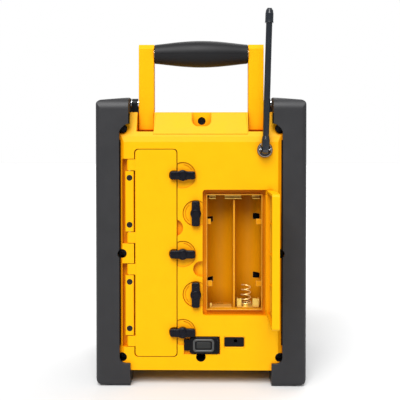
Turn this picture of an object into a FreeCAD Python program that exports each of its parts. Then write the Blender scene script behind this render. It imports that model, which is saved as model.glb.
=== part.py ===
import FreeCAD, Part
import math
import os
import Sketcher
from FreeCAD import Placement, Rotation, Vector

# A rugged portable radio. +X is to the right seen from behind, +Y runs from the rear face to the
# speaker side and +Z is up. The feet stand on z = 0. Every y below is a depth behind the rear face,
# and "rear" moves that face so that the origin is in the middle of the whole object's box.

CELLS = {
    # whole housing
    "rear": -50.75, "half_width": 98.0, "base": 15.5, "top": 266.0, "crown": 275.5, "wall": 3.0,
    "slope_foot": 250.5, "slope_depth": 15.0, "crown_back": 44.0, "split": 110.0, "front": 150.0,
    "post": 6.5,
    # rubber bumpers
    "guard_half": 105.5, "guard_rear": -3.0, "guard_front": 164.0, "guard_top": 290.0,
    "guard_edge": 81.6, "guard_cap_edge": 72.4, "foot_length": 26.0, "foot_height": 9.0,
    # battery bay
    "bay_left": 5.4, "bay_right": 61.9, "bay_low": 75.3, "bay_high": 192.5, "bay_rim": 4.0,
    "bay_skin": 0.9, "trough_radius": 13.25, "trough_depth": 24.0,
    # battery door
    "door_left": 2.3, "door_right": 64.6, "door_low": 71.2, "door_high": 196.8, "door_thick": 7.0,
    "door_axis_x": 68.8, "door_axis_depth": 4.0, "door_open": 90.0, "door_pin": 1.5,
    # storage compartment and its cover
    "cover_left": -65.8, "cover_right": -24.4, "cover_low": 29.5, "cover_high": 237.5,
    "cover_thick": 5.0, "cover_axis_x": -71.7, "cover_axis_depth": 3.2, "cover_pin": 1.5,
    "store_left": -61.5, "store_right": -31.5, "store_low": 34.0, "store_high": 233.0,
    "store_depth": 50.0,
    # turn latches
    "latch_length": 25.4, "latch_width": 8.3, "latch_thick": 4.2, "latch_lift": 0.8,
    "latch_hub": 5.5, "latch_shaft": 3.0, "dish": 13.2, "dish_depth": 1.0,
    # carrying handle
    "arm_inner": 48.4, "arm_outer": 64.2, "arm_low": 257.0, "arm_high": 345.4, "arm_rear": 20.0,
    "arm_front": 34.0, "pivot_height": 284.5, "pivot_depth": 27.0, "pivot_pin": 3.0,
    "grip_height": 336.0, "grip_mid": 13.75, "grip_end": 9.8, "grip_core": 6.0, "slot_gap": 0.8,
    "slot_low": 255.6, "slot_front": 35.6,
    # antenna
    "mast_x": 63.8, "mast_z": 237.2, "mast_depth": -8.0, "mast_lean": 1.65, "mast_sleeve": 4.1,
    "mast_rod": 3.15, "mast_top": 377.4,
    # power socket cover and headphone socket
    "flap_left": -11.3, "flap_right": 18.8, "flap_low": 32.0, "flap_high": 49.3,
    "flap_hinge_x": -11.5, "jack_x": 2.4, "jack_z": 40.7, "aux_x": 33.5, "aux_z": 44.0,
    # front controls and speaker
    "speaker_z": 102.0, "speaker_radius": 60.0, "panel_half": 75.0, "panel_low": 179.0,
    "panel_high": 255.0, "panel_face": 151.5, "knob_x": 52.0, "knob_z": 224.0, "knob_radius": 15.0,
    "button_z": 192.0, "button_pitch": 18.0, "button_gap": 0.3,
}

doc = FreeCAD.newDocument("PortableRadio")
sheet = doc.addObject("Spreadsheet::Sheet", "Dims")


class Size:
    """A length from the sheet: its value now, and the expression that keeps it tied to the cells."""

    def __init__(self, value, text):
        self.value = value
        self.text = text

    def __add__(self, other):
        other = size(other)
        return Size(self.value + other.value, f"({self.text} + {other.text})")

    def __sub__(self, other):
        other = size(other)
        return Size(self.value - other.value, f"({self.text} - {other.text})")

    def __mul__(self, factor):
        return Size(self.value * factor, f"({self.text} * {factor})")

    def __truediv__(self, factor):
        return Size(self.value / factor, f"({self.text} / {factor})")

    def __neg__(self):
        return self * -1

    def __radd__(self, other):
        return size(other) + self

    def __rsub__(self, other):
        return size(other) - self


def size(number):
    return number if isinstance(number, Size) else Size(float(number), str(round(float(number), 5)))


class Cells:
    """The sheet's cells as attributes."""


d = Cells()
for row, (alias, amount) in enumerate(CELLS.items(), 1):
    sheet.set(f"A{row}", alias)
    sheet.set(f"B{row}", str(amount))
    sheet.setAlias(f"B{row}", alias)
    setattr(d, alias, Size(amount, f"Dims.{alias}"))
doc.recompute()

AXES = {"x": Rotation(Vector(0, 1, 0), 90), "y": Rotation(Vector(1, 0, 0), -90), "z": Rotation()}
nodes = []


# ---------------------------------------------------------------- building blocks

def place(item, x, y, z, turn=None):
    """Put an object at x, depth y and height z, tied to the sheet."""
    if turn is not None:
        item.Placement = Placement(Vector(), turn)
    for letter, where in (("x", size(x)), ("y", size(y) + d.rear), ("z", size(z))):
        item.setExpression(f"Placement.Base.{letter}", where.text)
    return item


def block(x, y, z):
    """Box between the two ends given along each axis."""
    item = doc.addObject("Part::Box", "Block")
    for side, (low, high) in (("Length", x), ("Width", y), ("Height", z)):
        item.setExpression(side, (size(high) - low).text)
    return place(item, x[0], y[0], z[0])


def rod(axis, radius, centre, span):
    """Cylinder along an axis; centre gives the other two coordinates in x, y, z order."""
    item = doc.addObject("Part::Cylinder", "Rod")
    item.setExpression("Radius", size(radius).text)
    item.setExpression("Height", (size(span[1]) - span[0]).text)
    x, y, z = {"x": (span[0], *centre), "y": (centre[0], span[0], centre[1]), "z": (*centre, span[0])}[axis]
    return place(item, x, y, z, AXES[axis])


def cone(axis, radii, centre, span):
    """Cone along an axis, from the first radius to the second."""
    item = doc.addObject("Part::Cone", "Taper")
    item.setExpression("Radius1", size(radii[0]).text)
    item.setExpression("Radius2", size(radii[1]).text)
    item.setExpression("Height", (size(span[1]) - span[0]).text)
    x, y, z = {"x": (span[0], *centre), "y": (centre[0], span[0], centre[1]), "z": (*centre, span[0])}[axis]
    return place(item, x, y, z, AXES[axis])


def fuse(*items):
    item = doc.addObject("Part::MultiFuse", "Joined")
    item.Shapes = list(items)
    item.Refine = True
    return item


def cut(base, *tools):
    item = doc.addObject("Part::Cut", "Cut")
    item.Base = base
    item.Tool = tools[0] if len(tools) == 1 else fuse(*tools)
    item.Refine = True
    return item


def common(*items):
    item = doc.addObject("Part::MultiCommon", "Overlap")
    item.Shapes = list(items)
    item.Refine = True
    return item


def group(*items):
    item = doc.addObject("Part::Compound", "Group")
    item.Links = list(items)
    return item


def mirrored(item):
    """The same object on the other side of the x = 0 plane."""
    twin = doc.addObject("Part::Mirroring", "Mirror")
    twin.Source = item
    twin.Normal = Vector(1, 0, 0)
    return twin


def sketch_in(body, plane, corners, offset):
    """Closed outline in one of the body's planes, every corner tied to the sheet."""
    sketch = body.newObject("Sketcher::SketchObject", "Outline")
    support = [one for one in body.Origin.OriginFeatures if one.Role == plane + "_Plane"][0]
    sketch.AttachmentSupport = [(support, "")]
    sketch.MapMode = "FlatFace"
    sketch.setExpression("AttachmentOffset.Base.z", size(offset).text)
    corners = [(size(a), size(b)) for a, b in corners]
    points = [Vector(a.value, b.value, 0) for a, b in corners]
    for index, point in enumerate(points):
        sketch.addGeometry(Part.LineSegment(point, points[(index + 1) % len(points)]), False)
    for index in range(len(points)):
        sketch.addConstraint(Sketcher.Constraint("Coincident", index, 2, (index + 1) % len(points), 1))
    for index, corner in enumerate(corners):
        for kind, where in zip(("DistanceX", "DistanceY"), corner):
            rule = sketch.addConstraint(Sketcher.Constraint(kind, -1, 1, index, 1, where.value))
            sketch.renameConstraint(rule, f"{kind}{index}")
            sketch.setExpression(f"Constraints.{kind}{index}", where.text)
    return sketch


def prism(plane, corners, span):
    """Body padded from an outline, over a span along the axis that its plane leaves out."""
    body = doc.addObject("PartDesign::Body", "Solid")
    backward = plane == "XZ"
    low = size(span[0])
    sketch = sketch_in(body, plane, corners, -low if backward else low)
    pad = body.newObject("PartDesign::Pad", "Pad")
    pad.Profile = sketch
    pad.Reversed = backward
    pad.setExpression("Length", (size(span[1]) - low).text)
    return place(body, 0, 0, 0)


def turned(profile, x, y, z, axis="z"):
    """Body turned from (radius, height) corners about its own axis, which starts at x, y, z."""
    body = doc.addObject("PartDesign::Body", "Turning")
    spin = body.newObject("PartDesign::Revolution", "Turn")
    sketch = sketch_in(body, "XZ", profile, 0)
    spin.Profile = sketch
    spin.ReferenceAxis = (sketch, ["V_Axis"])
    spin.Angle = 360
    body.Tip = spin
    return place(body, x, y, z, AXES[axis])


def along(axis, *tests):
    """Edge filter: straight, parallel to an axis, and inside every (axis, low, high) test."""
    def accept(edge):
        if edge.Curve.TypeId != "Part::GeomLine":
            return False
        way = edge.tangentAt(edge.FirstParameter)
        if abs(abs(getattr(way, axis)) - 1) > 1e-6:
            return False
        middle = edge.CenterOfMass
        return all(low <= getattr(middle, name) <= high for name, low, high in tests)
    return accept


def rounded(item, radius, accept):
    """Fillet of the edges that the filter accepts."""
    doc.recompute()
    fillet = doc.addObject("Part::Fillet", "Fillet")
    fillet.Base = item
    picked = [number for number, edge in enumerate(item.Shape.Edges, 1) if accept(edge)]
    if not picked:
        raise ValueError(f"no edge to round on {item.Label}")
    fillet.Edges = [(number, size(radius).value, size(radius).value) for number in picked]
    return fillet


def soft_block(x, y, z, axis, radius):
    """Box with its four edges along one axis rounded."""
    return rounded(block(x, y, z), radius, along(axis))


def node(name, item):
    """Name a finished sub-part."""
    item.Label = name
    nodes.append(item)
    return item


# ---------------------------------------------------------------- places used by several parts

COVER_LATCHES = {"top": (-18.2, 211.7), "middle": (-18.2, 132.7), "bottom": (-18.2, 54.0)}
DOOR_LATCHES = {"upper": (-5.1, 173.5), "lower": (-5.1, 92.0)}
SIDE_SCREWS = [(side * 79.0, height) for side in (-1, 1) for height in (28.5, 133.0, 258.3)]
FOOT_SCREW = (0.0, 28.9)
CROWN_SCREW = (0.6, 266.5)
COVER_LUGS = [(39.4, 50.0), (111.8, 122.6), (143.7, 154.5), (216.5, 227.6)]
RETAINERS = {"lower": (50.5, 111.5), "upper": (154.9, 216.1)}
SCREW_INSET = 7.0
GUARD_GROOVES = (36.0, 46.0, 56.0, 234.0, 244.0, 254.0)
COVER_FINGER = (-26.4, 159.0)
DOOR_FINGER = (0.3, 117.5)


# ---------------------------------------------------------------- housing

def side_profile(inset):
    """Side view of the rear housing: upright back, sloped shoulder, crown, lower top."""
    return [(inset, d.base + inset), (inset, 245 - inset * 0.3), (inset + 1.5, d.slope_foot - inset * 0.5),
            (d.slope_depth + inset * 0.8, d.crown - inset), (d.crown_back - inset, d.crown - inset),
            (d.crown_back + 4 - inset * 0.6, d.top - inset), (d.split, d.top - inset),
            (d.split, d.base + inset)]


def screw_bores():
    """Head wells and shank holes; the crown screw is short and ends in the crown."""
    bores = [rod("y", 4.5, where, (-1, 12)) for where in SIDE_SCREWS]
    bores += [rod("y", 1.8, where, (11, d.split)) for where in SIDE_SCREWS]
    bores += [rod("y", 4.9, FOOT_SCREW, (-1, 24)), rod("y", 1.8, FOOT_SCREW, (23, d.split))]
    bores += [rod("y", 4.0, CROWN_SCREW, (-1, 24)), rod("y", 1.4, CROWN_SCREW, (23, 38))]
    return bores


def handle_slot(side, margin):
    """Slot for one handle arm, open to the rear and the top."""
    low, high = d.arm_inner - d.slot_gap - margin, d.arm_outer + d.slot_gap + margin
    x = (low, high) if side > 0 else (-high, -low)
    return block(x, (-1 if margin == 0 else 0, d.slot_front + margin), (d.slot_low - margin, d.crown + 1))


def rear_cavity():
    """Inside of the rear housing, which leaves walls round every recess."""
    hollow = prism("YZ", side_profile(d.wall), (-d.half_width + d.wall, d.half_width - d.wall))
    keep = [block((-1.5, 76.5), (0, 11.4), (67.8, 200.2)), block((-82, -21), (0, 11), (26, 241)),
            block((-20, 47), (0, 6), (28, 53)), handle_slot(-1, 3), handle_slot(1, 3),
            block((-12, 13.5), (0, 19), (255, d.crown)), rod("y", 9, (d.mast_x, d.mast_z), (0, 8))]
    keep += [rod("y", 11.5, COVER_FINGER, (0, 7.4)), rod("y", 11.0, DOOR_FINGER, (0, 8.5))]
    keep += [rod("y", 15.5, where, (0, 4.5)) for where in (*COVER_LATCHES.values(), *DOOR_LATCHES.values())]
    keep += [rod("y", d.post, where, (0, d.split)) for where in (*SIDE_SCREWS, FOOT_SCREW)]
    keep.append(rod("y", d.post, CROWN_SCREW, (0, 42)))
    return cut(hollow, *keep)


def turn_grooves():
    """Arcs in the latch dishes: the sweep of the bar's end, and a short arrow arc inside it."""
    arcs = []
    for x, z in COVER_LATCHES.values():
        sweep = cut(rod("y", 13.1, (x, z), (0, 2.4)), rod("y", 12.4, (x, z), (-1, 3)))
        arrow = cut(rod("y", 10.8, (x, z), (0, 1.8)), rod("y", 10.1, (x, z), (-1, 2)))
        arcs.append(common(sweep, block((d.cover_right + 2, x + 14), (0, 3), (z + 2, z + 14))))
        arcs.append(common(arrow, block((x + 1, x + 12), (0, 2), (z + 5, z + 12))))
    for x, z in DOOR_LATCHES.values():
        sweep = cut(rod("y", 13.1, (x, z), (0, 2.4)), rod("y", 12.4, (x, z), (-1, 3)))
        arrow = cut(rod("y", 10.8, (x, z), (0, 1.8)), rod("y", 10.1, (x, z), (-1, 2)))
        arcs.append(common(sweep, block((x - 14, x - 2), (0, 3), (z - 14, z + 14))))
        arcs.append(common(arrow, block((x - 12, x - 5), (0, 2), (z - 8, z + 8))))
    return arcs


def rear_housing():
    shell = cut(prism("YZ", side_profile(size(0)), (-d.half_width, d.half_width)), rear_cavity())
    cover_seat = soft_block((d.cover_left - 1.1, d.cover_right + 0.9), (-1, d.cover_thick + 0.4),
                            (d.cover_low - 0.7, d.cover_high + 0.7), "y", 3.8)
    door_seat = soft_block((1.7, 73.4), (-1, 8.4), (70.8, 197.2), "y", 3.0)
    fingers = [rod("y", 8.5, COVER_FINGER, (-1, 4.4)), rod("y", 8.0, DOOR_FINGER, (-1, 5.5))]
    channel = block((-78.9, -65.9), (-1, 8), (38.8, 228.2))
    margin = prism("XY", [(77.2, -1), (77.2, 0), (79.0, 1.2), (82.5, 2.6), (86.0, 2.6), (86.0, -1)],
                   (d.base + 12, 271))
    margins = [margin, mirrored(margin)]
    middle_land = cut(block((-78.9, -67.2), (0, 9), (123.2, 143.1)), *screw_bores())
    crown_pocket = rounded(block((-8.9, 10.1), (-1, 15.4), (261, 280)), 6, along("y", ("z", 260, 262)))
    openings = [block((d.store_left, d.store_right), (4, 12), (d.store_low, d.store_high)),
                block((d.bay_left, d.bay_right), (7, 12), (d.bay_low, d.bay_high))]
    latches = (*COVER_LATCHES.values(), *DOOR_LATCHES.values())
    dishes = [rod("y", d.dish, where, (-1, d.dish_depth)) for where in latches]
    holes = [rod("y", d.latch_shaft + 0.05, where, (-1, 6)) for where in latches]
    holes += [rod("y", 4.7, where, (4.6, 12)) for where in latches]
    flap_seat = block((-17.2, 19.2), (-1, 2.2), (31.6, 49.7))
    aux_seat = rounded(block((d.aux_x - 10.8, d.aux_x + 10.8), (-1, 2.6), (d.aux_z - 6, d.aux_z + 6)),
                       2.0, along("y"))
    sockets = [rod("y", 5.6, (d.jack_x, d.jack_z), (-1, 8)), rod("y", 3.6, (34.8, 44.9), (-1, 8)),
               rod("y", 4.45, (d.mast_x, d.mast_z), (-1, 9))]
    knuckles = []
    for low, high in ((70.8, 75.8), (192.2, 197.2)):
        knuckles.append(rod("z", 4.0, (d.door_axis_x, d.door_axis_depth), (low, high)))
        knuckles.append(block((66.0, 71.6), (d.door_axis_depth, 9), (low, high)))
    pin_bore = rod("z", d.door_pin, (d.door_axis_x, d.door_axis_depth), (69.0, 199.0))
    body = cut(shell, cover_seat, door_seat, *fingers, channel, crown_pocket, *margins, *openings,
               *dishes, *holes, *turn_grooves(), flap_seat, aux_seat, *sockets,
               handle_slot(-1, 0), handle_slot(1, 0), *screw_bores())
    return node("rear_housing", cut(fuse(body, middle_land, *knuckles), pin_bore))


def front_housing():
    outer = block((-d.half_width, d.half_width), (d.split, d.front), (d.base, d.top))
    inner = block((-d.half_width + d.wall, d.half_width - d.wall), (d.split, d.front - d.wall),
                  (d.base + d.wall, d.top - d.wall))
    posts = [rod("y", d.post, where, (d.split, d.front)) for where in (*SIDE_SCREWS, FOOT_SCREW)]
    cavity = cut(inner, *posts)
    window = block((-d.panel_half + 3, d.panel_half - 3), (d.front - 4, d.front + 1),
                   (d.panel_low + 3, d.panel_high - 3))
    ledge = block((-d.panel_half, d.panel_half), (d.front - 1.5, d.front + 1), (d.panel_low, d.panel_high))
    mouth = rod("y", d.speaker_radius - 6, (0, d.speaker_z), (d.front - 4, d.front + 1))
    threads = [rod("y", 1.4, where, (d.split, 130)) for where in (*SIDE_SCREWS, FOOT_SCREW)]
    return node("front_housing", cut(outer, cavity, window, ledge, mouth, *threads))


def housing_screws():
    """Long screws whose heads lie deep in their holes."""
    seats = [(where, 12, 126) for where in SIDE_SCREWS] + [(FOOT_SCREW, 24, 126), (CROWN_SCREW, 24, 37)]
    screws = []
    for where, seat, tip in seats:
        head = cut(rod("y", 3.4, where, (seat - 2.6, seat)), rod("y", 1.3, where, (seat - 3, seat - 1)))
        screws.append(fuse(head, rod("y", 1.4, where, (seat, tip))))
    return node("housing_screws", group(*screws))


def bumper():
    """Right bumper: a rubber channel round the side, with thick caps and two feet."""
    edge, half = d.guard_cap_edge - 1.5, d.guard_half
    ends = (d.guard_rear, d.guard_front)
    outside = ("x", 105, 106)
    face = prism("XZ", [(edge, 0), (80, 0), (half, 2.5), (half, d.guard_top - 3),
                        (d.guard_cap_edge, d.guard_top), (d.guard_cap_edge, 200), (edge, 200)], ends)
    face = rounded(face, 6.0, along("y", outside))
    plan = rounded(block((edge, half), ends, (0, d.guard_top)), 5.0, along("z", outside))
    flank = rounded(block((edge, half), ends, (0, d.guard_top)), 12.0, along("x", ("z", 289, 291)))
    flank = rounded(flank, 4.0, along("x", ("z", -1, 1)))
    housing = block((0, d.half_width), (0, d.split), (d.base, d.crown))
    housing_front = block((0, d.half_width), (d.split - 1, d.front), (d.base, d.crown))
    corner = [(50, 22.8), (75.2, 22.8), (78.4, 23.6), (80.5, 25.3), (d.guard_edge, 28), (d.guard_edge, 255.4),
              (79.8, 258.6), (76.6, 261.6), (73.6, 263.3), (50, 263.3)]
    window = prism("XZ", corner, (d.guard_rear - 1, d.guard_front + 1))
    middle_bore = rod("y", 4.5, (79.0, 133.0), (d.guard_rear - 1, 2))
    arch = block((50, half + 1), (d.foot_length, 161 - d.foot_length), (-1, d.foot_height))
    arch = rounded(arch, 6.0, along("x", ("z", 8, 10)))
    grooves = [block((half - 1.2, half + 1), (22, 139), (z - 1.4, z + 1.4)) for z in GUARD_GROOVES]
    return cut(common(plan, face, flank), housing, housing_front, window, middle_bore, arch, *grooves)


def bumpers():
    right = bumper()
    node("bumper_right", right)
    node("bumper_left", mirrored(right))


# ---------------------------------------------------------------- battery bay

def battery_tub():
    skin = d.bay_skin
    deep = d.trough_depth + d.trough_radius + 1.2
    outer = block((d.bay_left, d.bay_right), (d.bay_rim, deep), (d.bay_low, d.bay_high))
    flange = block((d.bay_left - 3, d.bay_right + 3), (11.4, 13), (d.bay_low - 3, d.bay_high + 3))
    low, high = d.bay_low + skin, d.bay_high - skin
    tools = []
    for left in (d.bay_left + skin, d.bay_right - skin - d.trough_radius * 2):
        centre = left + d.trough_radius
        tools.append(block((left, left + d.trough_radius * 2), (0, d.trough_depth), (low, high)))
        tools.append(rod("z", d.trough_radius, (centre, d.trough_depth), (low, high)))
    tools.append(block((d.bay_left + skin, d.bay_right - skin), (0, 12), (low, high)))
    pocket = (20, deep - skin)
    holes = [block((d.bay_left + skin, 12.3), pocket, span) for span in ((161.6, 167.4), (98.5, 104.0))]
    holes += [block((54.2, d.bay_right - skin), pocket, span) for span in ((164.3, 170.8), (102.5, 108.9))]
    left_wall, right_wall = d.bay_left + skin * 0.5, d.bay_right - skin * 0.5
    upper, lower = (162.1, 167.4), (99.3, 104.6)
    tabs = [block((left_wall, 10.0), (6, 9), upper), block((left_wall, 11.3), (6, 9), lower),
            block((55.7, right_wall), (6, 9), upper), block((55.7, right_wall), (6, 9), lower)]
    slits = [block(span, (24.5, 40), (188.0, 189.4))
             for span in ((d.bay_left - 1, 15), (25.5, 42), (53.5, 63))]
    slits.append(block((24, 41.6), (12, 25), (186.5, high)))
    foot_boss = rod("z", 4.2, (19.6, 29.5), (d.bay_low - 4, d.bay_low + skin * 0.5))
    foot_hole = rod("z", 3.2, (19.6, 29.5), (d.bay_low - 3, d.bay_low + 2))
    shell = cut(fuse(outer, flange, foot_boss), *tools, *holes, *slits, foot_hole)
    return node("battery_tub", fuse(shell, *tabs))


def battery_spring():
    """Round-wire spring contact in the right trough."""
    coil = doc.addObject("Part::Helix", "Coil")
    coil.Pitch = 4.4
    coil.Height = 21.0
    coil.Radius = 4.6
    wire = doc.addObject("Part::Circle", "Wire")
    wire.Radius = 0.45
    wire.Placement = Placement(Vector(4.6, 0, 0), Rotation(Vector(1, 0, 0), 90))
    spring = doc.addObject("Part::Sweep", "Spring")
    spring.Sections = [wire]
    spring.Spine = (coil, [])
    spring.Solid = True
    spring.Frenet = True
    place(spring, 46.2, 23, d.bay_low + d.bay_skin + 1.35)
    return node("battery_spring", spring)


def battery_contacts():
    """Sheet contacts at the ends of the troughs."""
    floor = d.bay_low + d.bay_skin
    roof = d.bay_high - d.bay_skin
    base = block((36.6, 59.2), (12.4, 29), (floor, floor + 0.8))
    wings = [block(span, (12.4, 13.4), (floor, floor + 9)) for span in ((36.6, 40.4), (52.5, 59.2))]
    wings += [block((x, x + 1.0), (12.4, 20), (floor, floor + 9)) for x in (36.6, 58.2)]
    plates = [fuse(base, *wings)]
    left = block((9, 31), (12.4, 25), (floor, floor + 0.8))
    plates.append(fuse(left, block((9, 11), (12.4, 13.4), (floor, floor + 4.5))))
    for span in ((8.3, 15.0), (24.4, 41.2), (52.5, 60.0)):
        plates.append(fuse(block(span, (13, 24), (roof - 0.8, roof)), block(span, (23.2, 24), (187.2, roof)),
                           block(span, (12.4, 24), (187.2, 188.0))))
    return node("battery_contacts", group(*plates))


def opened(item):
    """Swing a closed door piece to its open rest position about the hinge axis."""
    item.Placement = Placement(Vector(), Rotation(Vector(0, 0, 1), d.door_open.value))
    axis_y = d.rear + d.door_axis_depth
    item.setExpression("Placement.Base.x", (d.door_axis_x + axis_y).text)
    item.setExpression("Placement.Base.y", (axis_y - d.door_axis_x).text)
    return item


def battery_door():
    """Tray-shaped door with a hinge barrel, drawn closed and then opened by a right angle."""
    plate = rounded(block((d.door_left, d.door_right), (0, d.door_thick), (d.door_low, d.door_high)),
                    3.0, along("y", ("x", 0, 10)))
    pocket = block((4.7, d.door_right - 2.0), (3, 9), (73.6, 194.4))
    barrel = rod("z", 4.0, (d.door_axis_x, d.door_axis_depth), (76.2, 191.8))
    web = block((d.door_right - 0.6, d.door_axis_x), (0, 8), (76.2, 191.8))
    ribs = [block((8, 59), (2.9, 4.4), (z, z + 1.5)) for z in (103.0, 133.3, 163.5)]
    bore = rod("z", d.door_pin + 0.05, (d.door_axis_x, d.door_axis_depth), (70, 199))
    leaf = cut(fuse(cut(plate, pocket), barrel, web, *ribs), bore)
    return node("battery_door", opened(leaf))


def battery_door_gasket():
    """Flat seal inside the door's tray, which the bay's rim meets when the door is shut."""
    outer = block((4.8, 62.5), (3.0, 3.8), (74.0, 193.8))
    inner = block((7.2, 60.2), (2, 5), (77.0, 190.8))
    return node("battery_door_gasket", opened(cut(outer, inner)))


def battery_door_pin():
    return node("battery_door_pin",
                rod("z", d.door_pin, (d.door_axis_x, d.door_axis_depth), (69.6, 198.4)))


# ---------------------------------------------------------------- storage compartment

def storage_tub():
    outer = block((d.store_left - 1.6, d.store_right + 1.6), (11, d.store_depth),
                  (d.store_low - 1.6, d.store_high + 1.6))
    inner = block((d.store_left, d.store_right), (9, d.store_depth - 1.6), (d.store_low, d.store_high))
    flange = block((d.store_left - 4, d.store_right + 4), (11, 13), (d.store_low - 4, d.store_high + 4))
    return node("storage_tub", cut(fuse(outer, flange), inner))


def storage_cover():
    """Flush cover with four hinge lugs; its free edge is notched where the latch bars lie."""
    plate = soft_block((d.cover_left, d.cover_right), (0, d.cover_thick), (d.cover_low, d.cover_high),
                       "y", 3.6)
    lugs = []
    for low, high in COVER_LUGS:
        lugs.append(rod("z", 3.0, (d.cover_axis_x, d.cover_axis_depth), (low, high)))
        lugs.append(block((d.cover_axis_x, d.cover_left + 2), (0.2, d.cover_thick), (low, high)))
    bores = [rod("z", d.cover_pin + 0.05, (d.cover_axis_x, d.cover_axis_depth), (low - 1, high + 1))
             for low, high in COVER_LUGS]
    relief = block((d.cover_left + 5, d.cover_right - 10), (2.6, 6), (d.cover_low + 6, d.cover_high - 6))
    ribs = [block((d.cover_left + 4, d.cover_right - 9), (2.4, 4.4), (z, z + 1.6))
            for z in (70.0, 110.0, 157.0, 197.0)]
    notches = []
    for x, z in COVER_LATCHES.values():
        notches.append(rounded(block((-31.9, -20), (-1, 6), (z - 4.8, z + 4.8)), 4.0,
                               along("y", ("x", -32, -31))))
    return node("storage_cover", cut(fuse(cut(plate, relief), *lugs, *ribs), *bores, *notches))


def hinge_retainers():
    """Screwed strips that carry the stub pins of the cover's hinge."""
    for name, (low, high) in RETAINERS.items():
        strip = soft_block((-76.1, -67.2), (0, 7.8), (low + 0.3, high - 0.3), "z", 1.2)
        screws = [rod("y", 2.95, (-71.6, z), (-1, 1.6)) for z in (low + SCREW_INSET, high - SCREW_INSET)]
        shanks = [rod("y", 1.3, (-71.6, z), (-1, 9)) for z in (low + SCREW_INSET, high - SCREW_INSET)]
        sockets = [rod("z", d.cover_pin, (d.cover_axis_x, d.cover_axis_depth), (low - 1, low + 4)),
                   rod("z", d.cover_pin, (d.cover_axis_x, d.cover_axis_depth), (high - 4, high + 1))]
        node(f"hinge_retainer_{name}", cut(strip, *screws, *shanks, *sockets))


def retainer_screws():
    screws = []
    for low, high in RETAINERS.values():
        for z in (low + SCREW_INSET, high - SCREW_INSET):
            cross = fuse(block((-72.0, -71.2), (-1, 0.9), (z - 1.7, z + 1.7)),
                         block((-73.3, -69.9), (-1, 0.9), (z - 0.4, z + 0.4)))
            head = cut(rod("y", 2.85, (-71.6, z), (0.1, 1.6)), cross)
            screws.append(fuse(head, rod("y", 1.3, (-71.6, z), (1.6, 7.9))))
    return node("retainer_screws", group(*screws))


def cover_hinge_pins():
    pins = []
    for low, high in RETAINERS.values():
        for start, end in ((low - 9.5, low + 4), (high - 4, high + 9.5)):
            pins.append(rod("z", d.cover_pin, (d.cover_axis_x, d.cover_axis_depth), (start, end)))
    return node("cover_hinge_pins", group(*pins))


# ---------------------------------------------------------------- turn latches

def latch(name, x, z, level):
    """Turn button: bar with rounded corners, hub, and shaft with a snap flange inside the wall."""
    reach, half = d.latch_length / 2, d.latch_width / 2
    face, back = -d.latch_lift - d.latch_thick, -d.latch_lift
    if level:
        bar = soft_block((x - reach, x + reach), (face, back), (z - half, z + half), "y", 2.2)
    else:
        bar = soft_block((x - half, x + half), (face, back), (z - reach, z + reach), "y", 2.2)
    hub = rod("y", d.latch_hub, (x, z), (face + 0.6, 0.7))
    shaft = rod("y", d.latch_shaft, (x, z), (0, 7.2))
    clip = rod("y", 4.2, (x, z), (4.9, 6.4))
    return node(name, fuse(bar, hub, shaft, clip))


def latches():
    for where, (x, z) in COVER_LATCHES.items():
        latch(f"cover_latch_{where}", x, z, True)
    for where, (x, z) in DOOR_LATCHES.items():
        latch(f"door_latch_{where}", x, z, False)


# ---------------------------------------------------------------- sockets at the foot of the rear face

def dc_socket():
    """Rubber flap on a strap, and the power socket behind it."""
    lid = soft_block((d.flap_left, d.flap_right), (-0.4, 1.8), (d.flap_low, d.flap_high), "y", 1.8)
    groove = cut(block((-8.6, 13.5), (-1, 0.1), (34.6, 47.0)), block((-5.6, 10.5), (-1, 1), (36.6, 45.0)))
    plug = rod("y", 2.3, (d.jack_x, d.jack_z), (1.8, 4))
    bead = rod("z", 0.4, (d.flap_hinge_x, -0.4), (35.4, 46.5))
    node("dc_flap", fuse(cut(lid, groove), plug, bead))
    node("dc_flap_anchor", soft_block((-16.8, d.flap_hinge_x - 0.2), (0.2, 2.2), (35.1, 46.8), "y", 1.0))
    shell = block((d.jack_x - 6.5, d.jack_x + 6.5), (6, 20), (d.jack_z - 5, d.jack_z + 6))
    nose = rod("y", 5.4, (d.jack_x, d.jack_z), (2.6, 6.2))
    bore = rod("y", 3.2, (d.jack_x, d.jack_z), (0, 14))
    pin = rod("y", 1.0, (d.jack_x, d.jack_z), (6, 14.5))
    node("dc_jack", fuse(cut(fuse(shell, nose), bore), pin))


def aux_socket():
    plate = soft_block((d.aux_x - 9.8, d.aux_x + 9.8), (0.6, 2.6), (d.aux_z - 4.8, d.aux_z + 4.8), "y", 1.4)
    node("aux_panel", cut(plate, rod("y", 3.0, (34.8, 44.9), (0, 4))))
    sleeve = fuse(rod("y", 3.0, (34.8, 44.9), (0.8, 2.6)), rod("y", 3.6, (34.8, 44.9), (2.6, 16)))
    node("aux_jack", cut(sleeve, rod("y", 1.85, (34.8, 44.9), (0, 15))))


# ---------------------------------------------------------------- antenna

def leaning(item):
    """Lean an upright antenna piece about the mast's pivot."""
    angle = math.radians(d.mast_lean.value)
    item.Placement = Placement(Vector(), Rotation(Vector(0, 1, 0), d.mast_lean.value))
    shift_x = d.mast_x * (1 - math.cos(angle)) - d.mast_z * math.sin(angle)
    shift_z = d.mast_z * (1 - math.cos(angle)) + d.mast_x * math.sin(angle)
    item.setExpression("Placement.Base.x", shift_x.text)
    item.setExpression("Placement.Base.z", shift_z.text)
    return item


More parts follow.
